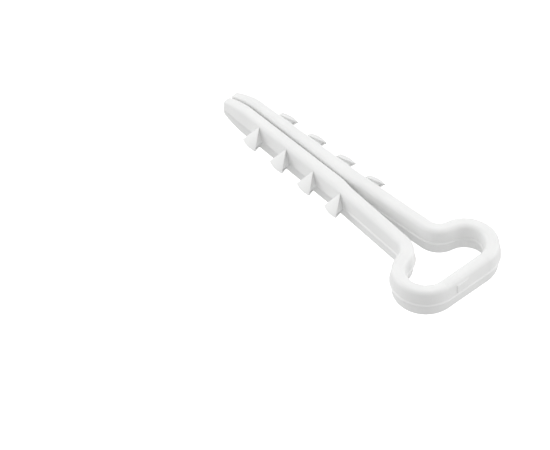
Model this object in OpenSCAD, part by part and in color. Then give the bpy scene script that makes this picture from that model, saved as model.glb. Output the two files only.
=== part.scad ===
// Cable clip dowel: one moulding with a loop head that holds a flat cable,
// and two barbed legs that are pushed together into a drilled wall hole.
// It lies on its side: +X runs along the legs to their tips, Z is its thickness.
// The origin is at the bottom centre of the moulding.

/* [Overall] */
// Length from the crown's outer face to the leg tips
overall_length = 45; // [37:1:56]
// Thickness of the whole moulding, across the band
thickness = 4.5; // [3.6:0.1:5.5]

/* [Loop head] */
// Width of the band that forms the loop
band_w = 2.1; // [1.7:0.05:2.6]
// Radius of the band's rounded long edges
edge_r = 0.7; // [0.3:0.05:0.8]
// Length of the straight crown bar between the two bows
crown_length = 7.1; // [5.5:0.1:9]
// Radius of each end bow, on the band's centre line
bow_r = 3.6; // [2.9:0.1:4.6]
// How far each bow turns back toward the legs, in degrees
bow_turn = 170; // [150:1:178]
// Radius of each shoulder, on the band's centre line
shoulder_r = 2.5; // [1.9:0.05:3]

/* [Legs] */
// Gap between the flat inner faces of the two legs
seam_gap = 0.3; // [0.2:0.05:0.5]
// Width of one leg where the two legs meet
leg_w = 2.2; // [1.8:0.05:2.7]
// Width of one leg where its tip begins
leg_end_w = 1.65; // [1.3:0.05:2]
// How far past the root of the first barb the two legs meet
meet_lead = 1.6; // [0.5:0.1:3]

/* [Tips] */
// Length of the tapered tip
tip_length = 3.6; // [2.5:0.1:4.5]
// Width of one leg at its very end
tip_w = 1.2; // [0.8:0.05:1.3]
// Height of the tip's lower edge at its very end
tip_low = 0.6; // [0.2:0.1:1]
// Height of the tip's upper edge at its very end
tip_high = 3.2; // [1.8:0.1:3.4]

/* [Barbs] */
// Barbs on each leg
barb_count = 4; // [3:1:4]
// Distance from one barb to the next
barb_pitch = 5.35; // [4.5:0.05:6.4]
// Height of a barb's hooked end above the leg's outer face
barb_hook_h = 2.1; // [1.6:0.05:2.6]
// Height of a barb's end nearer the tip above the leg's outer face
barb_heel_h = 1.75; // [1.2:0.05:2]
// How far the hook reaches back towards the head from the barb's root
hook_reach = 1.6; // [1.2:0.05:2]
// How far the ridge reaches towards the tip from the barb's root
heel_reach = 1.25; // [1:0.05:1.6]
// How far the ridge bulges out between the hook and the heel
ridge_bulge = 0.28; // [0.1:0.02:0.4]
// How far the hook overhangs its own foot
hook_lean = 0.6; // [0.2:0.05:0.8]
// Half the thickness of a barb at its root
barb_half_t = 2; // [1.6:0.05:2.2]
// Distance from the leg's end to the root of the last barb
last_barb_setback = 6.8; // [6:0.1:8]

/* [Flexing] */
// Clearance round the flexing line of each bow
flex_clearance = 0.06; // [0.04:0.01:0.1]
// Clearance between a barb and its leg when the barb is folded in
barb_clearance = 0.08; // [0.05:0.01:0.15]
// How far a barb can fold in towards its leg, in degrees
barb_fold = 9; // [5:1:12]

/* [Hidden] */
$fn = 64;
moulded_white = [0.93, 0.93, 0.92];
corner_steps = 3;    // flats in each rounded edge of the band
nose_steps = 8;      // stretches along each rounded outline of a tip
nose_curve = 1.6;    // how late each rounded outline of a tip turns away
facet_run = 1.4;     // how far each facet's cutting shape runs, as a share of the facet
barb_blunt = 0.08;   // how far each end of a barb stops short of a sharp edge
margin = 1;          // how far a cutting shape runs past what it cuts

crown_x = -overall_length / 2;
tip_x = overall_length / 2;
mid_z = thickness / 2;

// Left bow: its centre, and the place where its flexing line is
bow_x = crown_x + band_w / 2 + bow_r;
bow_y = crown_length / 2;
flex_y = bow_y + bow_r;
knuckle_r = 0.62 * band_w;
knuckle_turn = 40;

// Left shoulder: it starts where the bow ends, and turns until it points at the meeting place
bow_end_heading = 90 - bow_turn;
bow_end = [bow_x + bow_r * cos(180 - bow_turn), bow_y + bow_r * sin(180 - bow_turn)];
shoulder_c = bow_end + shoulder_r * [-sin(bow_end_heading), cos(bow_end_heading)];

// Places along a leg
last_root_x = tip_x - last_barb_setback;
first_root_x = last_root_x - (barb_count - 1) * barb_pitch;
meet_x = first_root_x + meet_lead;
nose_x = tip_x - tip_length;
meet_y = seam_gap / 2 + leg_w / 2;

// Heading of the arm: the line that touches the shoulder's arc and ends at the meeting place
to_meet = [meet_x, meet_y] - shoulder_c;
arm_heading = atan2(to_meet.y, to_meet.x) + asin(shoulder_r / norm(to_meet));
arm_start = shoulder_c + shoulder_r * [sin(arm_heading), -cos(arm_heading)];
arm_length = norm([meet_x, meet_y] - arm_start);

// The leg's outer face: along the arm up to where the legs meet, then tapering to the tip
shank_slope = (leg_end_w - leg_w) / (nose_x - meet_x);
function outer_slope(x) = x < meet_x ? tan(arm_heading) : shank_slope;
function outer_y(x) = x < meet_x
    ? meet_y + band_w / 2 / cos(arm_heading) + tan(arm_heading) * (x - meet_x)
    : seam_gap / 2 + leg_w + shank_slope * (x - meet_x);

// Outline of a rounded rectangle, w wide about 0 and t tall from 0
function rounded_section(w, t, r) = [
    for (corner = [[w / 2 - r, r, -90], [w / 2 - r, t - r, 0], [r - w / 2, t - r, 90], [r - w / 2, r, 180]])
        for (k = [0 : corner_steps])
            let (a = corner[2] + 90 * k / corner_steps)
            [corner[0] + r * cos(a), corner[1] + r * sin(a)]
];

module left_and_right(side) {
    mirror([0, side == "right" ? 1 : 0, 0]) children();
}

// Straight run of band along +X from the origin
module band_run(length) {
    rotate([90, 0, 90])
        linear_extrude(height = length)
            polygon(rounded_section(band_w, thickness, edge_r));
}

// Curved run of band about the origin, from one angle to another
module band_arc(radius, from, to) {
    rotate([0, 0, from])
        rotate_extrude(angle = to - from)
            translate([radius, 0])
                polygon(rounded_section(band_w, thickness, edge_r));
}

module flex_core(radius) {
    translate([bow_x, flex_y, -margin])
        cylinder(r = radius, h = thickness + 2 * margin);
}

// The leg's outer side with its rounded edges, as a long bar that leans with the leg
module leg_bar() {
    translate([meet_x, outer_y(meet_x), 0])
        rotate([0, 0, atan(shank_slope)])
            translate([-margin, -leg_w, 0])
                rotate([90, 0, 90])
                    linear_extrude(height = tip_x - meet_x + 4 * margin)
                        polygon(rounded_section(2 * leg_w, thickness, edge_r));
}

module crown() {
    color(moulded_white)
        translate([crown_x + band_w / 2, -crown_length / 2, 0])
            rotate([0, 0, 90])
                band_run(crown_length);
}

module bow(side) {
    color(moulded_white)
        left_and_right(side)
            difference() {
                translate([bow_x, bow_y, 0]) band_arc(bow_r, 90, 180);
                flex_core(knuckle_r + flex_clearance);
            }
}

module cheek(side) {
    color(moulded_white)
        left_and_right(side)
            difference() {
                translate([bow_x, bow_y, 0])
                    band_arc(bow_r, 180 - bow_turn, 90 + knuckle_turn);
                difference() {
                    translate([bow_x - bow_r - band_w, bow_y, -margin])
                        cube([bow_r + band_w, bow_r + band_w, thickness + 2 * margin]);
                    flex_core(knuckle_r);
                }
            }
}

module shoulder(side) {
    color(moulded_white)
        left_and_right(side)
            translate([shoulder_c.x, shoulder_c.y, 0])
                band_arc(shoulder_r, 270 + bow_end_heading, 270 + arm_heading);
}

module arm(side) {
    color(moulded_white)
        left_and_right(side)
            intersection() {
                translate([arm_start.x, arm_start.y, 0])
                    rotate([0, 0, arm_heading])
                        band_run(arm_length + margin);
                translate([crown_x, -margin, -margin])
                    cube([meet_x - crown_x, flex_y + 2 * margin, thickness + 2 * margin]);
            }
}

module shank(side) {
    color(moulded_white)
        left_and_right(side)
            intersection() {
                translate([meet_x, seam_gap / 2, 0])
                    cube([nose_x - meet_x, leg_w + margin, thickness]);
                leg_bar();
            }
}

// Outline from one size to another over the tip's length, which turns away more and more
function nose_outline(from, to) = [
    for (k = [0 : nose_steps])
        [nose_x + tip_length * k / nose_steps, from + (to - from) * pow(k / nose_steps, nose_curve)]
];

module tip(side) {
    plan = nose_outline(leg_end_w, tip_w);
    lower = nose_outline(0, tip_low);
    upper = nose_outline(thickness, tip_high);
    color(moulded_white)
        left_and_right(side)
            intersection() {
                translate([0, seam_gap / 2, 0])
                    linear_extrude(height = thickness)
                        polygon(concat([[nose_x, 0]], plan, [[tip_x, 0]]));
                translate([0, leg_w + margin, 0])
                    rotate([90, 0, 0])
                        linear_extrude(height = leg_w + 2 * margin)
                            polygon(concat(lower, [for (k = [nose_steps : -1 : 0]) upper[k]]));
                leg_bar();
            }
}

// The place where the line through p along u crosses the line through q along v
function crossing(p, u, q, v) = p + u * (cross(q - p, v) / cross(u, v));

// One barb: two facets that meet in a bulging ridge, with a hook that leans back towards the head.
// Seen from the side it is a diamond, whose upper and lower corners lie on the leg.
// Under it is the thin wedge of space that it folds into.
module barb(side, index) {
    root_x = first_root_x + index * barb_pitch;
    hook_x = root_x - hook_reach;
    heel_x = root_x + heel_reach;
    hook = [hook_x, outer_y(hook_x) + barb_hook_h];
    heel = [heel_x, outer_y(heel_x) + barb_heel_h];
    lean = hook - [hook_x + hook_lean, outer_y(hook_x)];
    hinge = [heel_x, outer_y(heel_x) + barb_clearance];
    underside = [-cos(barb_fold), sin(barb_fold) - outer_slope(hook_x)];
    chord = norm(heel - hook);
    ridge_r = chord * chord / 8 / ridge_bulge + ridge_bulge / 2;
    outward = [hook.y - heel.y, heel.x - hook.x] / chord;
    ridge_c = (hook + heel) / 2 - (ridge_r - ridge_bulge) * outward;
    depth = ridge_r - norm([root_x, outer_y(root_x)] - ridge_c);
    color(moulded_white)
        left_and_right(side)
            intersection() {
                // Plan outline, open outwards
                linear_extrude(height = thickness)
                    polygon([
                        hinge, crossing(hinge, underside, hook, lean),
                        hook + lean, [heel_x, hook.y + lean.y],
                    ]);
                // Side outline: the diamond, whose two ends are cut a little blunt
                translate([0, flex_y + margin, mid_z])
                    rotate([90, 0, 0])
                        linear_extrude(height = flex_y + margin)
                            polygon([
                                [hook_x - barb_blunt, 0], [root_x, barb_half_t],
                                [heel_x + barb_blunt, 0], [root_x, -barb_half_t],
                            ]);
                // Roof: the two facets, bulging along the ridge
                translate([ridge_c.x, ridge_c.y, mid_z])
                    rotate_extrude()
                        polygon([
                            [ridge_r, 0],
                            [ridge_r - facet_run * depth, facet_run * barb_half_t],
                            [ridge_r - facet_run * depth, -facet_run * barb_half_t],
                        ]);
            }
}

crown();
bow("left");  // left_bow
bow("right");  // right_bow
cheek("left");  // left_cheek
cheek("right");  // right_cheek
shoulder("left");  // left_shoulder
shoulder("right");  // right_shoulder
arm("left");  // left_arm
arm("right");  // right_arm
shank("left");  // left_shank
shank("right");  // right_shank
tip("left");  // left_tip
tip("right");  // right_tip
barb("left", 0);  // left_barb_1
barb("left", 1);  // left_barb_2
barb("left", 2);  // left_barb_3
barb("left", 3);  // left_barb_4
barb("right", 0);  // right_barb_1
barb("right", 1);  // right_barb_2
barb("right", 2);  // right_barb_3
barb("right", 3);  // right_barb_4
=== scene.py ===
"""A push-in wall anchor for flat cable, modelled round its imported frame.

The clip is one moulding in white nylon. It is modelled in millimetres, as a
band that is spun and extruded from one profile, and each finished piece is
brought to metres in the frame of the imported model.
"""

import logging
import math
from collections.abc import Callable
from dataclasses import dataclass
from enum import Enum

import bmesh
import bpy
from mathutils import Matrix, Vector


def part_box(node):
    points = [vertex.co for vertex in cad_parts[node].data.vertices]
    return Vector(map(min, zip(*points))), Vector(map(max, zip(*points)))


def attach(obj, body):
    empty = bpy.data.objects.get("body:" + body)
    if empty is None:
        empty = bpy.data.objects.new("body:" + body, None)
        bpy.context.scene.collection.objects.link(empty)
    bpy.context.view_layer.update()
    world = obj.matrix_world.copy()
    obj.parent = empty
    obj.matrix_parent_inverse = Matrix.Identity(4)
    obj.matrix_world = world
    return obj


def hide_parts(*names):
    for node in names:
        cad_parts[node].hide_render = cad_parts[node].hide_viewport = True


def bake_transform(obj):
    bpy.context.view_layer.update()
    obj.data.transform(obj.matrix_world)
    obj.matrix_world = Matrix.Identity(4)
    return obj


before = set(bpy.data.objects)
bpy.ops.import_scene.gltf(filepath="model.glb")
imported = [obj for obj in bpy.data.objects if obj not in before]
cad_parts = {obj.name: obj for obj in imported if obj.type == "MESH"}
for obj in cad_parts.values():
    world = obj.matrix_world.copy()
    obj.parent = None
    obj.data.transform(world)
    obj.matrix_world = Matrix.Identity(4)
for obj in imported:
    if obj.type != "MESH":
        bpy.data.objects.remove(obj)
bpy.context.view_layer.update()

LOG = logging.getLogger("cable clip")
MM = 0.001
Point = tuple[float, float, float]

# Millimetres: a vertex is at a place if it is nearer than NEAR, and at a height if nearer than FINE.
NEAR = 1e-3
FINE = 1e-4
# A face looks along an axis if its normal has more than this along it.
FACING = 0.9
# A bevel of this profile is a true round.
ROUND_PROFILE = 0.5
# Rotate and spin turn clockwise from above for a positive angle here, so they are given this sign.
ANTICLOCKWISE = -1.0


class Side(Enum):
    """The two halves of the clip, by the sign of their Y."""

    LEFT = 1
    RIGHT = -1

    @property
    def word(self) -> str:
        """The side's name, as the frame's nodes have it."""
        return self.name.lower()


# ---------------------------------------------------------------- sizes


@dataclass(frozen=True)
class ClipSizes:
    """Sizes of the clip in millimetres and degrees, on its left half.

    Attributes:
        band_w: Width of the band round the loop and along the arms.
        thickness: Height of the clip from the floor.
        crown_length: Length of the crown bar between the bows.
        crown_x: Place of the crown bar's outer face.
        meet_x: Place where the arms come together and the shanks start.
        nose_x: Place where the shanks end and the tips start.
        tip_x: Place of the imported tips' ends.
        leg_w: Width of one shank where it starts.
        leg_end_w: Width of one shank where it ends.
        bow_r: Radius of the bow's middle line.
        bow_turn: Angle that the bow turns through.
        shoulder_r: Radius of the shoulder's middle line.
        seam_gap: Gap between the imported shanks.
        tip_w: Width of one tip at its end.
        tip_low: Height of the tip's lower side at its end.
        tip_high: Height of the tip's upper side at its end.
    """

    band_w: float
    thickness: float
    crown_length: float
    crown_x: float
    meet_x: float
    nose_x: float
    tip_x: float
    leg_w: float
    leg_end_w: float
    bow_r: float = 3.6
    bow_turn: float = 170.0
    shoulder_r: float = 2.5
    seam_gap: float = 0.3
    tip_w: float = 1.2
    tip_low: float = 0.6
    tip_high: float = 3.2

    @classmethod
    def from_frame(cls) -> "ClipSizes":
        """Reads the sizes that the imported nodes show.

        Returns:
            The sizes, with the rest at their own values.
        """
        low, high = (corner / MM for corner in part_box("crown"))
        shank_low, shank_high = (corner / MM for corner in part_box("left_shank"))
        tip_low, tip_high = (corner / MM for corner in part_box("left_tip"))
        return cls(
            band_w=high.x - low.x,
            thickness=high.z - low.z,
            crown_length=high.y - low.y,
            crown_x=low.x,
            meet_x=shank_low.x,
            nose_x=shank_high.x,
            tip_x=tip_high.x,
            leg_w=shank_high.y - shank_low.y,
            leg_end_w=tip_high.y - tip_low.y,
        )

    @property
    def mid_z(self) -> float:
        """Height of the mould's parting plane."""
        return self.thickness / 2

    @property
    def inner_y(self) -> float:
        """Place of a leg's flat inner face."""
        return self.seam_gap / 2

    @property
    def bow_centre(self) -> Vector:
        """Centre of the left bow."""
        return Vector((self.crown_x + self.band_w / 2 + self.bow_r, self.crown_length / 2, self.mid_z))

    @property
    def bow_end_heading(self) -> float:
        """Heading of the band where the bow ends, in radians."""
        return math.radians(90 - self.bow_turn)

    @property
    def bow_end(self) -> Vector:
        """Middle of the band where the bow ends."""
        angle = math.radians(180 - self.bow_turn)
        return self.bow_centre + self.bow_r * Vector((math.cos(angle), math.sin(angle), 0))

    @property
    def shoulder_centre(self) -> Vector:
        """Centre of the left shoulder's bend."""
        heading = self.bow_end_heading
        return self.bow_end + self.shoulder_r * Vector((-math.sin(heading), math.cos(heading), 0))

    @property
    def meeting(self) -> Vector:
        """Middle of the left leg where the two legs come together."""
        return Vector((self.meet_x, self.inner_y + self.leg_w / 2, self.mid_z))

    @property
    def arm_heading(self) -> float:
        """Heading of the straight arm, in radians."""
        way = self.meeting - self.shoulder_centre
        return math.atan2(way.y, way.x) + math.asin(self.shoulder_r / way.length)

    def leg_width(self, x: float) -> float:
        """Width of one leg at x, on its straight taper."""
        share = (x - self.meet_x) / (self.nose_x - self.meet_x)
        return self.leg_w + share * (self.leg_end_w - self.leg_w)

    def wall_y(self, x: float) -> float:
        """Finds the left leg's outer face.

        Args:
            x: The place along the leg, on the arm or on the shank.

        Returns:
            The face's Y there.
        """
        if x < self.meet_x:
            across = self.band_w / 2 / math.cos(self.arm_heading)
            return self.meeting.y + across + math.tan(self.arm_heading) * (x - self.meet_x)
        return self.inner_y + self.leg_width(x)


@dataclass(frozen=True)
class Section:
    """The band's cross-section: two drafted halves that meet at a bead, the lower one narrower.

    Attributes:
        draft: How far each side leans in from the parting plane to the top and bottom.
        corner_r: Radius of the four corners.
        corner_steps: Facets of each corner.
        bead_out: How far the bead at the parting plane stands out.
        bead_half: Half the height of the bead.
        groove: How far the lower side is drawn in just under the bead.
        step: How far the whole lower half is set in.
    """

    draft: float = 0.14
    corner_r: float = 0.62
    corner_steps: int = 6
    bead_out: float = 0.16
    bead_half: float = 0.2
    groove: float = 0.08
    step: float = 0.07


# ---------------------------------------------------------------- modelling


class Workpiece:
    """One mesh, modelled in edit mode in millimetres, with its object at the origin."""

    def __init__(self, name: str) -> None:
        """Starts an empty mesh and enters edit mode.

        Args:
            name: The piece's name.
        """
        if bpy.context.object and bpy.context.object.mode != "OBJECT":
            bpy.ops.object.mode_set(mode="OBJECT")
        bpy.ops.object.select_all(action="DESELECT")
        self.obj = bpy.data.objects.new(name, bpy.data.meshes.new(name))
        bpy.context.collection.objects.link(self.obj)
        bpy.context.view_layer.objects.active = self.obj
        self.obj.select_set(True)
        bpy.ops.object.mode_set(mode="EDIT")
        bpy.ops.mesh.select_mode(type="VERT")

    def select(self, rule: Callable[[Vector], bool], within: bool = False) -> int:
        """Selects vertices by their place.

        Args:
            rule: Says whether a place is wanted.
            within: Whether only vertices selected already may stay selected.

        Returns:
            How many vertices are selected.
        """
        mesh = bmesh.from_edit_mesh(self.obj.data)
        wanted = {v for v in mesh.verts if rule(v.co) and (v.select or not within)}
        bpy.ops.mesh.select_mode(type="VERT")
        for part in (*mesh.faces, *mesh.edges):
            part.select = False
        for vert in mesh.verts:
            vert.select = vert in wanted
        mesh.select_flush(True)
        bmesh.update_edit_mesh(self.obj.data)
        return len(wanted)

    def select_faces(self, rule: Callable[[Vector, Vector], bool]) -> None:
        """Selects faces by their middle and normal.

        Args:
            rule: Says whether a face with that middle and normal is wanted.
        """
        bpy.ops.mesh.select_mode(type="FACE")
        mesh = bmesh.from_edit_mesh(self.obj.data)
        mesh.normal_update()
        for face in mesh.faces:
            face.select = rule(face.calc_center_median(), face.normal)
        mesh.select_flush_mode()
        bmesh.update_edit_mesh(self.obj.data)

    def select_edges(self, rule: Callable[[Vector, Vector], bool]) -> None:
        """Selects edges by their two ends.

        Args:
            rule: Says whether an edge with those ends is wanted.
        """
        bpy.ops.mesh.select_mode(type="EDGE")
        mesh = bmesh.from_edit_mesh(self.obj.data)
        for edge in mesh.edges:
            edge.select = rule(edge.verts[0].co, edge.verts[1].co)
        mesh.select_flush_mode()
        bmesh.update_edit_mesh(self.obj.data)

    def move(self, step: Vector) -> None:
        """Moves what is selected by a step."""
        bpy.ops.transform.translate(value=step)

    def resize(self, value: Point, about: Vector) -> None:
        """Scales what is selected along the world's axes about a point."""
        bpy.ops.transform.resize(value=value, center_override=about)

    def turn(self, angle: float, about: Vector) -> None:
        """Turns what is selected about a vertical line, anticlockwise from above."""
        bpy.ops.transform.rotate(value=ANTICLOCKWISE * angle, orient_axis="Z", center_override=about)

    def extrude(self, step: Vector) -> None:
        """Extrudes the selected faces by a step, and leaves the new end selected."""
        bpy.ops.mesh.extrude_region_move(TRANSFORM_OT_translate={"value": step})

    def spin(self, angle: float, centre: Vector, steps: int) -> None:
        """Sweeps the selected faces about a vertical line, anticlockwise from above."""
        bpy.ops.mesh.spin(steps=steps, angle=ANTICLOCKWISE * angle, center=centre, axis=(0, 0, 1))

    def round_off(self, radius: float, steps: int, affect: str = "EDGES") -> None:
        """Rounds the selected edges, or the selected corners of a flat face."""
        bpy.ops.mesh.bevel(offset=radius, segments=steps, affect=affect, profile=ROUND_PROFILE)

    def profile(
        self, centre: Vector, heading: float, width: float, height: float, section: Section
    ) -> None:
        """Draws the band's section as one face, square to a heading, and leaves it selected.

        Args:
            centre: Middle of the section.
            heading: The way that the band runs there, in radians.
            width: Width of the band at its parting plane.
            height: Thickness of the band.
            section: The section's draft, corners and bead.
        """

        def at_rim(co: Vector) -> bool:
            """Whether a vertex is on the section's top or bottom line."""
            return abs(co.z) > height / 2 - FINE

        def widen(rule: Callable[[Vector], bool], change: float) -> None:
            """Moves both sides out by about a change, or in where it is below 0."""
            self.select(rule)
            self.resize((1, 1 + 2 * change / width, 1), Vector())

        bpy.ops.mesh.primitive_plane_add(size=1, location=(0, 0, 0), rotation=(0, math.radians(90), 0))
        self.resize((1, width, height), Vector())
        for z in (-section.bead_half, 0, section.bead_half):
            bpy.ops.mesh.select_all(action="SELECT")
            bpy.ops.mesh.bisect(plane_co=(0, 0, z), plane_no=(0, 0, 1))
        bpy.ops.mesh.select_all(action="SELECT")
        bpy.ops.mesh.dissolve_faces()
        widen(at_rim, -section.draft)
        widen(lambda co: abs(co.z) < FINE, section.bead_out)
        widen(lambda co: co.z < -section.bead_half / 2, -section.step)
        widen(lambda co: abs(co.z + section.bead_half) < FINE, -section.groove)
        self.select(at_rim)
        self.round_off(section.corner_r, section.corner_steps, affect="VERTICES")
        bpy.ops.mesh.select_all(action="SELECT")
        self.turn(heading, Vector())
        self.move(centre)
        bpy.ops.mesh.select_mode(type="FACE")

    def finish(self, smooth_angle: float = 32.0) -> bpy.types.Object:
        """Leaves edit mode with a closed mesh in metres.

        Args:
            smooth_angle: Edges that turn by less than this many degrees are shaded smooth.

        Returns:
            The finished object.
        """
        bpy.ops.mesh.select_all(action="SELECT")
        bpy.ops.mesh.remove_doubles(threshold=FINE)
        bpy.ops.mesh.normals_make_consistent(inside=False)
        bpy.ops.object.mode_set(mode="OBJECT")
        self.obj.scale = (MM, MM, MM)
        bpy.ops.object.transform_apply(location=False, rotation=False, scale=True)
        bpy.ops.object.shade_smooth_by_angle(angle=math.radians(smooth_angle))
        return self.obj


def mirrored(source: bpy.types.Object, name: str) -> bpy.types.Object:
    """Copies a left piece as the right one, with its own mesh.

    Args:
        source: The finished left piece.
        name: The new piece's name.

    Returns:
        The right piece, closed and facing outwards.
    """
    copy = source.copy()
    copy.data = source.data.copy()
    copy.name = copy.data.name = name
    bpy.context.collection.objects.link(copy)
    bpy.ops.object.select_all(action="DESELECT")
    copy.select_set(True)
    bpy.context.view_layer.objects.active = copy
    copy.scale = (1, -1, 1)
    bpy.ops.object.transform_apply(location=False, rotation=False, scale=True)
    bpy.ops.object.mode_set(mode="EDIT")
    bpy.ops.mesh.select_all(action="SELECT")
    bpy.ops.mesh.normals_make_consistent(inside=False)
    bpy.ops.object.mode_set(mode="OBJECT")
    return copy


def dress(piece: bpy.types.Object, finish: bpy.types.Material) -> None:
    """Gives a piece its finish."""
    piece.data.materials.append(finish)


# ---------------------------------------------------------------- shaders


class Signal:
    """A shader socket that can be written in arithmetic."""

    def __init__(self, shader: "Shader", socket: bpy.types.NodeSocket) -> None:
        """Wraps one output socket of a shader's tree."""
        self.shader = shader
        self.socket = socket

    def _math(self, operation: str, *values: "Signal | float") -> "Signal":
        """Adds one Math node."""
        return self.shader.node("ShaderNodeMath", {"operation": operation}, dict(enumerate(values)))

    def __add__(self, other: "Signal | float") -> "Signal":
        """Sum."""
        return self._math("ADD", self, other)

    __radd__ = __add__

    def __sub__(self, other: "Signal | float") -> "Signal":
        """Difference."""
        return self._math("SUBTRACT", self, other)

    def __rsub__(self, other: float) -> "Signal":
        """Difference, with the number first."""
        return self._math("SUBTRACT", other, self)

    def __mul__(self, other: "Signal | float") -> "Signal":
        """Product."""
        return self._math("MULTIPLY", self, other)

    __rmul__ = __mul__


class Shader:
    """One material's node tree, with its Principled shader already connected."""

    def __init__(self, name: str) -> None:
        """Starts a material.

        Args:
            name: The material's name.
        """
        self.material = bpy.data.materials.new(name)
        self.material.use_nodes = True
        self.tree = self.material.node_tree
        self.surface = self.tree.nodes["Principled BSDF"]

    def node(
        self,
        kind: str,
        settings: dict[str, object],
        inputs: dict[str | int, "Signal | float | tuple[float, ...]"],
        output: str | int = 0,
    ) -> Signal:
        """Adds one node.

        Args:
            kind: The node's type.
            settings: Its own settings, which are set first.
            inputs: A value or a signal for each input socket.
            output: The output that is wanted.

        Returns:
            That output, as a signal.
        """
        made = self.tree.nodes.new(kind)
        for key, value in settings.items():
            setattr(made, key, value)
        for key, value in inputs.items():
            self.put(made.inputs[key], value)
        return Signal(self, made.outputs[output])

    def put(self, socket: bpy.types.NodeSocket, value: "Signal | float | tuple[float, ...]") -> None:
        """Gives a socket a signal or a value.

        Args:
            socket: The input socket.
            value: What it is given.
        """
        if isinstance(value, Signal):
            self.tree.links.new(value.socket, socket)
        else:
            socket.default_value = value

    def noise(
        self, scale: float, detail: float = 2.0, stretch: Point = (1, 1, 1), roughness: float = 0.55
    ) -> Signal:
        """Noise over the object, from 0 to 1.

        Args:
            scale: Features per metre.
            detail: Layers of finer noise.
            stretch: Scale along each axis; the pattern is drawn out where it is below 1.
            roughness: Share of the finer layers.

        Returns:
            The noise.
        """
        place = self.node("ShaderNodeTexCoord", {}, {}, "Object")
        placed = self.node("ShaderNodeMapping", {}, {"Vector": place, "Scale": stretch})
        return self.node(
            "ShaderNodeTexNoise",
            {},
            {"Vector": placed, "Scale": scale, "Detail": detail, "Roughness": roughness},
        )

    def mix(self, share: Signal, one: tuple[float, ...], two: tuple[float, ...]) -> Signal:
        """Mixes two colours by a share."""
        return self.node(
            "ShaderNodeMix", {"data_type": "RGBA"}, {"Factor": share, 6: (*one, 1), 7: (*two, 1)}, 2
        )


@dataclass(frozen=True)
class MouldedNylon:
    """Natural white nylon as it leaves the mould: satin, faintly cloudy, slightly translucent.

    Attributes:
        pale: Its colour where it is clear of cloud.
        cloudy: Its colour in the faint clouds.
        cloud_scale: Clouds per metre.
        cloud_stretch: Scale of the clouds along each axis.
        roughness: Middle roughness.
        roughness_spread: How much the clouds change the roughness.
        grain_scale: Grains per metre.
        flow_scale: Flow lines per metre.
        flow_stretch: Scale of the flow lines along each axis, long towards the tips.
        grain_height: Height of the grain and flow lines in metres.
        grain_strength: Strength of their bump.
        glow_weight: Share of the light that passes under the surface.
        glow_depth: How far it passes, in metres.
        glow_colour: How far each colour of it passes, by the depth.
        ior: Index of refraction.
    """

    pale: Point = (0.88, 0.88, 0.875)
    cloudy: Point = (0.78, 0.785, 0.78)
    cloud_scale: float = 260
    cloud_stretch: Point = (0.5, 1, 1)
    roughness: float = 0.42
    roughness_spread: float = 0.12
    grain_scale: float = 9000
    flow_scale: float = 1500
    flow_stretch: Point = (0.12, 1, 1)
    grain_height: float = 0.00002
    grain_strength: float = 0.6
    glow_weight: float = 0.1
    glow_depth: float = 0.0005
    glow_colour: Point = (1.0, 1.0, 0.95)
    ior: float = 1.5

    def build(self, name: str) -> bpy.types.Material:
        """Makes the material.

        Args:
            name: The material's name.

        Returns:
            The finished material.
        """
        shader = Shader(name)
        cloud = shader.noise(self.cloud_scale, detail=3, stretch=self.cloud_stretch)
        grain = shader.noise(self.grain_scale)
        flow = shader.noise(self.flow_scale, stretch=self.flow_stretch)
        surface = shader.surface.inputs
        shader.put(surface["Base Color"], shader.mix(cloud, self.cloudy, self.pale))
        shader.put(surface["Roughness"], self.roughness + (cloud - 0.5) * self.roughness_spread)
        bump = shader.node(
            "ShaderNodeBump",
            {},
            {"Strength": self.grain_strength, "Distance": self.grain_height, "Height": grain + flow},
        )
        shader.put(surface["Normal"], bump)
        shader.put(surface["Subsurface Weight"], self.glow_weight)
        shader.put(surface["Subsurface Radius"], self.glow_colour)
        shader.put(surface["Subsurface Scale"], self.glow_depth)
        shader.put(surface["IOR"], self.ior)
        return shader.material


@dataclass(frozen=True)
class PaleGround:
    """A plain white ground that glows evenly.

    Attributes:
        darker: Its darkest colour.
        lighter: Its lightest colour.
        speck_scale: Specks per metre.
        roughness: Its roughness.
        glow: Strength of its own light.
    """

    darker: Point = (0.93, 0.93, 0.93)
    lighter: Point = (0.95, 0.95, 0.95)
    speck_scale: float = 40
    roughness: float = 0.9
    glow: float = 1.0

    def build(self, name: str) -> bpy.types.Material:
        """Makes the material.

        Args:
            name: The material's name.

        Returns:
            The finished material.
        """
        shader = Shader(name)
        speck = shader.noise(self.speck_scale)
        surface = shader.surface.inputs
        shader.put(surface["Base Color"], shader.mix(speck, self.darker, self.lighter))
        shader.put(surface["Roughness"], self.roughness)
        shader.put(surface["Emission Color"], (1, 1, 1, 1))
        shader.put(surface["Emission Strength"], self.glow)
        return shader.material


# ---------------------------------------------------------------- pieces


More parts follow.
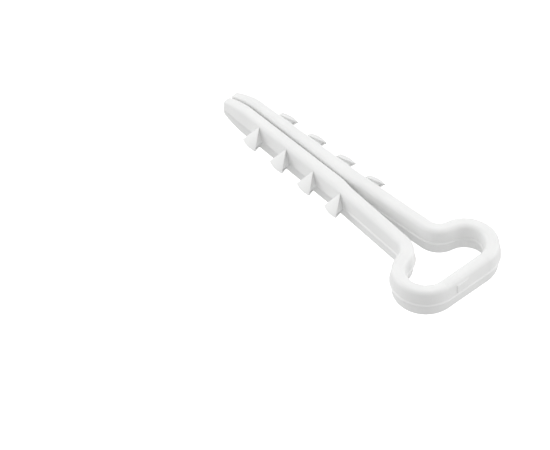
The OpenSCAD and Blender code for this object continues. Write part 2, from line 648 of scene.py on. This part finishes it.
@dataclass
class LoopHead:
    """The loop that holds the cable: the crown bar and the two bows.

    Attributes:
        sizes: The clip's sizes.
        section: The band's section.
        finish: The material.
        pad_half_length: Half the length of the pad inside the bar's lower half.
        pad_height: How far the pad stands in from the bar.
        pad_rim: Width of the pad's sloping rim.
        gate_low: Where the gate's scar starts, along the bar.
        gate_high: Where the gate's scar ends.
        gate_height: How far the scar stands out.
        gate_rim: Width of the scar's sloping rim.
        bow_steps: Facets of one bow.
        flex_half: Half the length of a bow's flexing line; it is not used.
    """

    sizes: ClipSizes
    section: Section
    finish: bpy.types.Material
    pad_half_length: float = 2.4
    pad_height: float = 0.14
    pad_rim: float = 0.1
    gate_low: float = 0.3
    gate_high: float = 2.4
    gate_height: float = 0.12
    gate_rim: float = 0.12
    bow_steps: int = 58
    flex_half: float = 1.8

    def crown(self) -> bpy.types.Object:
        """Models the crown bar, with the cable pad inside and the gate's scar outside.

        Returns:
            The finished piece.
        """
        s = self.sizes
        piece = Workpiece("crown_bar")
        start = Vector((s.crown_x + s.band_w / 2, -s.crown_length / 2, s.mid_z))
        piece.profile(start, math.radians(90), s.band_w, s.thickness, self.section)
        here = -s.crown_length / 2
        for stop in (
            -self.pad_half_length,
            self.gate_low,
            self.gate_high,
            self.pad_half_length,
            s.crown_length / 2,
        ):
            piece.extrude(Vector((0, stop - here, 0)))
            here = stop
        bead, edge = self.section.bead_half, self.section.corner_r
        piece.select_faces(
            lambda middle, normal: normal.x > FACING
            and abs(middle.y) < self.pad_half_length
            and edge < middle.z < s.mid_z - bead
        )
        bpy.ops.mesh.inset(thickness=self.pad_rim, depth=self.pad_height)
        piece.select_faces(
            lambda middle, normal: normal.x < -FACING
            and self.gate_low < middle.y < self.gate_high
            and s.mid_z + bead < middle.z < s.thickness - edge
        )
        bpy.ops.mesh.inset(thickness=self.gate_rim, depth=self.gate_height)
        return piece.finish(smooth_angle=24)

    def bow(self) -> bpy.types.Object:
        """Models the left bow, from the crown bar to where the shoulder starts.

        Returns:
            The finished piece.
        """
        s = self.sizes
        piece = Workpiece("left_bow_band")
        start = s.bow_centre - Vector((s.bow_r, 0, 0))
        piece.profile(start, math.radians(90), s.band_w, s.thickness, self.section)
        piece.spin(-math.radians(s.bow_turn), s.bow_centre, self.bow_steps)
        return piece.finish()

    def build(self) -> list[bpy.types.Object]:
        """Builds the loop and joins its crown bar to the head's body.

        Returns:
            Its pieces.
        """
        crown = self.crown()
        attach(crown, "head")
        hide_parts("crown")
        left = self.bow()
        pieces = [crown]
        for side, bow in ((Side.LEFT, left), (Side.RIGHT, mirrored(left, "right_bow_band"))):
            reach = Vector((self.flex_half * MM, 0, 0))
            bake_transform(bow)
            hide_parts(f"{side.word}_bow", f"{side.word}_cheek")
            pieces.append(bow)
        for piece in pieces:
            dress(piece, self.finish)
        return pieces


@dataclass
class Leg:
    """One leg: its shoulder, arm, barbed shank and tip, in one run.

    Attributes:
        sizes: The clip's sizes.
        section: The band's section.
        finish: The material.
        shoulder_steps: Facets of the shoulder.
        arm_steps: Lengths that the arm is made in.
        shank_steps: Lengths that the shank is made in.
        nose_steps: Lengths that the tip is made in.
        nose_curve: How late the tip narrows; 1 is a straight taper.
        end_round: Radius of the tip's end.
        end_steps: Facets of that round.
        inner_flatness: Share of its curve that the section's inner side keeps on the shank.
        inner_lip: How far that side is then moved towards the other leg.
        bead_fade: How far the bead is drawn in on the shank.
        tip_reach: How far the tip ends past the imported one.
    """

    sizes: ClipSizes
    section: Section
    finish: bpy.types.Material
    shoulder_steps: int = 26
    arm_steps: int = 6
    shank_steps: int = 14
    nose_steps: int = 9
    nose_curve: float = 1.6
    end_round: float = 0.22
    end_steps: int = 3
    inner_flatness: float = 0.75
    inner_lip: float = 0.1
    bead_fade: float = 0.12
    tip_reach: float = 0.7

    def leg(self) -> bpy.types.Object:
        """Models the left leg.

        Returns:
            The finished piece.
        """
        s = self.sizes
        piece = Workpiece("left_leg_band")
        piece.profile(s.bow_end, s.bow_end_heading, s.band_w, s.thickness, self.section)
        piece.spin(s.arm_heading - s.bow_end_heading, s.shoulder_centre, self.shoulder_steps)
        side_step = Vector((math.sin(s.arm_heading), -math.cos(s.arm_heading), 0))
        arm_start = s.shoulder_centre + s.shoulder_r * side_step
        way = s.meeting - arm_start
        for _ in range(self.arm_steps):
            piece.extrude(way / self.arm_steps)
        piece.turn(-s.arm_heading, s.meeting)
        self._flatten_inside(piece)
        self._taper(piece)
        self._nose(piece)
        return piece.finish()

    def _flatten_inside(self, piece: Workpiece) -> None:
        """Makes the end ring as wide as the leg, with a flatter inner side and a lower bead.

        Args:
            piece: The leg, with the arm's end selected.
        """
        s = self.sizes
        piece.resize((1, s.leg_w / s.band_w, 1), s.meeting)
        edge = s.inner_y + self.section.corner_r + self.section.draft
        piece.select(lambda co: co.y < edge, within=True)
        plane = Vector((s.meet_x, s.inner_y, s.mid_z))
        piece.resize((1, self.inner_flatness, 1), plane)
        piece.move(Vector((0, -self.inner_lip, 0)))

        def at(height: float, outer: bool) -> Callable[[Vector], bool]:
            """Picks the end ring's vertex at one height, on its outer or its inner side."""
            return lambda co: (
                abs(co.x - s.meet_x) < NEAR
                and (co.y > s.meeting.y) == outer
                and abs(co.z - height) < NEAR
            )

        for height, outer, shift in (
            (s.mid_z, True, -self.bead_fade),
            (s.mid_z - self.section.bead_half, True, self.bead_fade / 2),
            (s.mid_z, False, self.bead_fade),
        ):
            piece.select(at(height, outer))
            piece.move(Vector((0, shift, 0)))
        piece.select_faces(
            lambda middle, normal: abs(middle.x - s.meet_x) < NEAR and abs(normal.x) > FACING
        )

    def _taper(self, piece: Workpiece) -> None:
        """Runs the shank out to the tip, narrowing from its outer side.

        Args:
            piece: The leg, with the shank's first face selected.
        """
        s = self.sizes
        step = (s.nose_x - s.meet_x) / self.shank_steps
        for k in range(self.shank_steps):
            x = s.meet_x + k * step
            piece.extrude(Vector((step, 0, 0)))
            share = s.leg_width(x + step) / s.leg_width(x)
            piece.resize((1, share, 1), Vector((x, s.inner_y, s.mid_z)))

    def _nose(self, piece: Workpiece) -> None:
        """Tapers the tip, mostly from its upper side, and rounds its end.

        Args:
            piece: The leg, with the shank's end selected.
        """
        s = self.sizes
        width, low, high, x = s.leg_end_w, 0.0, s.thickness, s.nose_x
        end_x = s.tip_x + self.tip_reach
        for k in range(1, self.nose_steps + 1):
            share = (k / self.nose_steps) ** self.nose_curve
            new_x = s.nose_x + (end_x - s.nose_x) * k / self.nose_steps
            new_width = s.leg_end_w + (s.tip_w - s.leg_end_w) * share
            new_low = s.tip_low * share
            new_high = s.thickness + (s.tip_high - s.thickness) * share
            piece.extrude(Vector((new_x - x, 0, new_low - low)))
            factor = (new_high - new_low) / (high - low)
            piece.resize((1, new_width / width, factor), Vector((new_x, s.inner_y, new_low)))
            width, low, high, x = new_width, new_low, new_high, new_x
        piece.select_edges(lambda a, b: min(a.x, b.x) > end_x - NEAR)
        piece.round_off(self.end_round, self.end_steps)

    def build(self) -> list[bpy.types.Object]:
        """Builds both legs and joins them to their bodies.

        Returns:
            The two pieces.
        """
        left = self.leg()
        pieces = []
        for side, leg in ((Side.LEFT, left), (Side.RIGHT, mirrored(left, "right_leg_band"))):
            body = f"{side.word}_leg"
            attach(leg, body)
            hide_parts(*(f"{side.word}_{part}" for part in ("shoulder", "arm", "shank", "tip")))
            dress(leg, self.finish)
            pieces.append(leg)
        return pieces


@dataclass
class Barbs:
    """The hooked barbs along the outer side of each leg.

    Attributes:
        sizes: The clip's sizes.
        finish: The material.
        count: Barbs on one leg.
        hook_reach: Length from the root to the hook's point.
        heel_reach: Length from the root to the heel.
        hook_h: Height of the hook's point over the wall.
        heel_h: Height of the heel over the wall.
        lean: How far the hook's point overhangs its foot.
        bulge: How far the ridge bows out between the hook and the heel.
        bulge_cuts: Points that the ridge is bowed at.
        half_t: Half the barb's thickness at its root.
        sunk: How far the root is sunk in the wall.
        block_h: Height of the block that a barb is pulled from.
        ridge_low: Least height over the sunk root of an edge that counts as the ridge.
        rim: Width of the softened rims.
        rim_steps: Facets of those rims.
        scoop_facing: How much a face has to look towards the head to be scooped.
        scoop_off_mid: Least height of such a face's middle off the parting plane.
        scoop_rim: Width of the rim left round a scoop.
        scoop_depth: Depth of a scoop.
    """

    sizes: ClipSizes
    finish: bpy.types.Material
    count: int = 4
    hook_reach: float = 1.6
    heel_reach: float = 1.25
    hook_h: float = 2.05
    heel_h: float = 1.8
    lean: float = 0.6
    bulge: float = 0.28
    bulge_cuts: int = 5
    half_t: float = 1.95
    sunk: float = 0.2
    block_h: float = 1.0
    ridge_low: float = 0.4
    rim: float = 0.1
    rim_steps: int = 2
    scoop_facing: float = 0.4
    scoop_off_mid: float = 0.3
    scoop_rim: float = 0.13
    scoop_depth: float = 0.25

    def barb(self, index: int) -> bpy.types.Object:
        """Models one of the left leg's barbs, from a diamond on the wall.

        Args:
            index: Its place along the leg, from 0 at the head's end.

        Returns:
            The finished piece.
        """
        s = self.sizes
        heel_x = (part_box(f"left_barb_{index + 1}")[1] / MM).x
        root_x = heel_x - self.heel_reach
        hook_x = root_x - self.hook_reach
        foot_x = hook_x + self.lean
        base = s.wall_y(root_x) - self.sunk
        top = base + self.block_h
        hook = Vector((hook_x, s.wall_y(hook_x) + self.hook_h, s.mid_z))
        heel = Vector((heel_x, s.wall_y(heel_x) + self.heel_h, s.mid_z))
        piece = Workpiece(f"left_barb_hook_{index + 1}")
        self._diamond(piece, Vector((root_x, base, s.mid_z)), foot_x, heel_x)
        piece.extrude(Vector((0, self.block_h, 0)))
        for z_sign in (1, -1):
            piece.select(lambda co: z_sign * (co.z - s.mid_z) > self.half_t / 2)
            bpy.ops.mesh.merge(type="COLLAPSE")
            piece.select(lambda co: z_sign * (co.z - s.mid_z) > self.half_t / 2)
            piece.move(Vector((0, -self.block_h / 2, 0)))
        piece.select(lambda co: co.y > top - NEAR and co.x < root_x)
        piece.move(hook - Vector((foot_x, top, s.mid_z)))
        piece.select(lambda co: co.y > top - NEAR and co.x > root_x)
        piece.move(heel - Vector((heel_x, top, s.mid_z)))
        piece.select(lambda co: co.y > top - NEAR)
        bpy.ops.mesh.vert_connect()
        self._bulge_ridge(piece, hook, heel, top)
        self._soften(piece, hook, heel, base)
        bpy.ops.mesh.select_all(action="SELECT")
        bpy.ops.mesh.normals_make_consistent(inside=False)
        piece.select_faces(
            lambda middle, normal: normal.x < -self.scoop_facing
            and abs(middle.z - s.mid_z) > self.scoop_off_mid
        )
        bpy.ops.mesh.inset(thickness=self.scoop_rim, depth=-self.scoop_depth)
        return piece.finish(smooth_angle=28)

    def _diamond(self, piece: Workpiece, root: Vector, foot_x: float, heel_x: float) -> None:
        """Adds a square and pulls its corners out to a diamond that lies along the wall.

        Args:
            piece: The new piece.
            root: Middle of the root.
            foot_x: Place of the diamond's end towards the head.
            heel_x: Place of its end towards the tip.
        """
        bpy.ops.mesh.primitive_plane_add(size=1, location=root, rotation=(math.radians(90), 0, 0))
        for x_sign, z_sign, x, z in (
            (-1, -1, foot_x, root.z),
            (1, 1, heel_x, root.z),
            (-1, 1, root.x, root.z + self.half_t),
            (1, -1, root.x, root.z - self.half_t),
        ):
            corner = root + Vector((x_sign, 0, z_sign)) / 2
            piece.select(lambda co, corner=corner: (co - corner).length < NEAR)
            piece.move(Vector((x, root.y, z)) - corner)
        bpy.ops.mesh.select_all(action="SELECT")
        bpy.ops.mesh.select_mode(type="FACE")

    def _bulge_ridge(self, piece: Workpiece, hook: Vector, heel: Vector, top: float) -> None:
        """Bows the ridge outwards between the hook and the heel.

        Args:
            piece: The barb.
            hook: The ridge's end towards the head.
            heel: The ridge's end towards the tip.
            top: A height that only the ridge is above.
        """
        piece.select_edges(lambda a, b: min(a.y, b.y) > top - NEAR and abs(a.z - b.z) < FINE)
        bpy.ops.mesh.subdivide(number_cuts=self.bulge_cuts, ngon=False)
        outward = Vector((hook.y - heel.y, heel.x - hook.x, 0)).normalized()
        for k in range(1, self.bulge_cuts + 1):
            share = k / (self.bulge_cuts + 1)
            place = hook.lerp(heel, share)
            if piece.select(lambda co, place=place: (co - place).length < NEAR):
                piece.move(4 * self.bulge * share * (1 - share) * outward)

    def _soften(self, piece: Workpiece, hook: Vector, heel: Vector, base: float) -> None:
        """Rounds the rims of the two ends and the ridge.

        Args:
            piece: The barb.
            hook: The ridge's end towards the head.
            heel: The ridge's end towards the tip.
            base: Place of the sunk root.
        """
        mid_z = self.sizes.mid_z
        free = base + self.ridge_low

        def on_ridge(co: Vector) -> bool:
            """Whether a vertex is free of the root on the parting plane."""
            return abs(co.z - mid_z) < FINE and co.y > free

        def on_outline(co: Vector) -> bool:
            """Whether a vertex is on the ridge or at the top or bottom of the root."""
            return co.y > free or abs(co.z - mid_z) > self.half_t - NEAR

        def at_end(co: Vector) -> bool:
            """Whether a vertex is the hook's point or the heel."""
            return any((co - end).length < NEAR for end in (hook, heel))

        def wanted(a: Vector, b: Vector) -> bool:
            """Whether an edge is part of the ridge or of an end's rim."""
            rim = abs(a.z - b.z) > self.half_t / 2 and (at_end(a) or at_end(b))
            return on_outline(a) and on_outline(b) and (rim or (on_ridge(a) and on_ridge(b)))

        piece.select_edges(wanted)
        piece.round_off(self.rim, self.rim_steps)

    def build(self) -> list[bpy.types.Object]:
        """Builds every barb on both legs and gives each its finish.

        Returns:
            The pieces.
        """
        s = self.sizes
        left = [self.barb(index) for index in range(self.count)]
        right = [mirrored(piece, piece.name.replace("left", "right")) for piece in left]
        for side, barbs in ((Side.LEFT, left), (Side.RIGHT, right)):
            for number, piece in enumerate(barbs, start=1):
                low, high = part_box(f"{side.word}_barb_{number}")
                wall = s.wall_y(high.x / MM) * MM
                side.value * wall
                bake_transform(piece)
                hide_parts(f"{side.word}_barb_{number}")
                dress(piece, self.finish)
        return left + right


# ---------------------------------------------------------------- studio


@dataclass(frozen=True)
class SoftLamp:
    """A square soft light that faces the clip.

    Attributes:
        name: Its name.
        right: How far it hangs to the right of the view, in metres.
        away: How far it hangs behind the clip.
        over: How far it hangs over the floor.
        size: Length of its side.
        power: Its power in watts.
    """

    name: str
    right: float
    away: float
    over: float
    size: float
    power: float


@dataclass
class Studio:
    """A pale floor, soft light and a camera with a long lens.

    Attributes:
        sizes: The clip's sizes.
        azimuth: The way that the camera stands round the clip, in degrees.
        elevation: How high it looks from, in degrees.
        roll: How far it is tilted about its own axis, in degrees.
        distance: How far it stands from the clip, in metres.
        view_width: Width of the view at the clip, in millimetres.
        target_x: How far behind the crown bar's outer face the view's target is, in millimetres.
        off_right: How far that target is right of the view's centre, in millimetres.
        off_up: How far it is above the view's centre, in millimetres.
        sensor_width: Width of the camera's sensor in millimetres.
        clip_end: How far the camera sees, in metres.
        floor_size: Length of the floor's side, in metres.
        floor_drop: How far the floor lies under the clip, in metres.
        world_light: Strength of the even light from all round.
        lamps: The soft lights.
    """

    sizes: ClipSizes
    azimuth: float = 226.33
    elevation: float = 46.39
    roll: float = 0.64
    distance: float = 1.1
    view_width: float = 72.13
    target_x: float = 21.6
    off_right: float = 10.56
    off_up: float = 3.63
    sensor_width: float = 36
    clip_end: float = 10
    floor_size: float = 3
    floor_drop: float = 0.00002
    world_light: float = 0.7
    lamps: tuple[SoftLamp, ...] = (
        SoftLamp("left bank", right=-0.9, away=0.25, over=0.55, size=0.9, power=4.8),
        SoftLamp("right bank", right=0.9, away=0.2, over=0.5, size=0.8, power=4.5),
        SoftLamp("top bank", right=0, away=0.5, over=1.0, size=0.8, power=0.8),
    )

    def camera(self) -> None:
        """Sets up the camera."""
        s = self.sizes
        target = Vector((s.crown_x + self.target_x, 0, s.mid_z)) * MM
        turn, rise = math.radians(self.azimuth), math.radians(self.elevation)
        level = Vector((math.cos(turn), math.sin(turn), 0))
        back = Vector((math.sin(turn) * math.cos(rise), -math.cos(turn) * math.cos(rise), math.sin(rise)))
        right = Matrix.Rotation(math.radians(self.roll), 3, back) @ level
        up = back.cross(right)
        data = bpy.data.cameras.new("camera")
        data.sensor_width = self.sensor_width
        data.lens = self.sensor_width * self.distance / (self.view_width * MM)
        data.clip_end = self.clip_end
        camera = bpy.data.objects.new("camera", data)
        bpy.context.collection.objects.link(camera)
        shift = -self.off_right * right - self.off_up * up
        camera.location = target + shift * MM + self.distance * back
        camera.rotation_euler = Matrix((right, up, back)).transposed().to_euler()
        bpy.context.scene.camera = camera

    def floor(self) -> None:
        """Lays the pale floor just under the clip."""
        bpy.ops.mesh.primitive_plane_add(size=self.floor_size, location=(0, 0, -self.floor_drop))
        floor = bpy.context.object
        floor.name = "floor"
        floor.data.materials.append(PaleGround().build("pale floor"))
        floor.visible_diffuse = False
        floor.visible_glossy = False

    def hang(self, lamp: SoftLamp) -> None:
        """Hangs one soft light.

        Args:
            lamp: The light.
        """
        turn = math.radians(self.azimuth)
        right = Vector((math.cos(turn), math.sin(turn), 0))
        away = Vector((-math.sin(turn), math.cos(turn), 0))
        place = lamp.right * right + lamp.away * away + lamp.over * Vector((0, 0, 1))
        data = bpy.data.lights.new(lamp.name, "AREA")
        data.size = lamp.size
        data.energy = lamp.power
        light = bpy.data.objects.new(lamp.name, data)
        bpy.context.collection.objects.link(light)
        light.location = place
        light.rotation_euler = place.to_track_quat("Z", "Y").to_euler()

    def build(self) -> None:
        """Sets the whole studio up."""
        bpy.context.scene.view_settings.view_transform = "Standard"
        self.camera()
        self.floor()
        for lamp in self.lamps:
            self.hang(lamp)
        world = bpy.data.worlds.new("studio")
        world.use_nodes = True
        light = world.node_tree.nodes["Background"].inputs
        light["Color"].default_value = (1, 1, 1, 1)
        light["Strength"].default_value = self.world_light
        bpy.context.scene.world = world


def main() -> None:
    """Builds the clip and its studio, and reports each piece."""
    logging.basicConfig(level=logging.INFO, format="%(name)s: %(message)s")
    sizes = ClipSizes.from_frame()
    section = Section()
    nylon = MouldedNylon().build("moulded white nylon")
    pieces = [
        *LoopHead(sizes, section, nylon).build(),
        *Leg(sizes, section, nylon).build(),
        *Barbs(sizes, nylon).build(),
    ]
    for piece in pieces:
        LOG.info("%s: %d faces", piece.name, len(piece.data.polygons))
    Studio(sizes).build()
    bpy.context.view_layer.update()


if __name__ == "__main__":
    main()
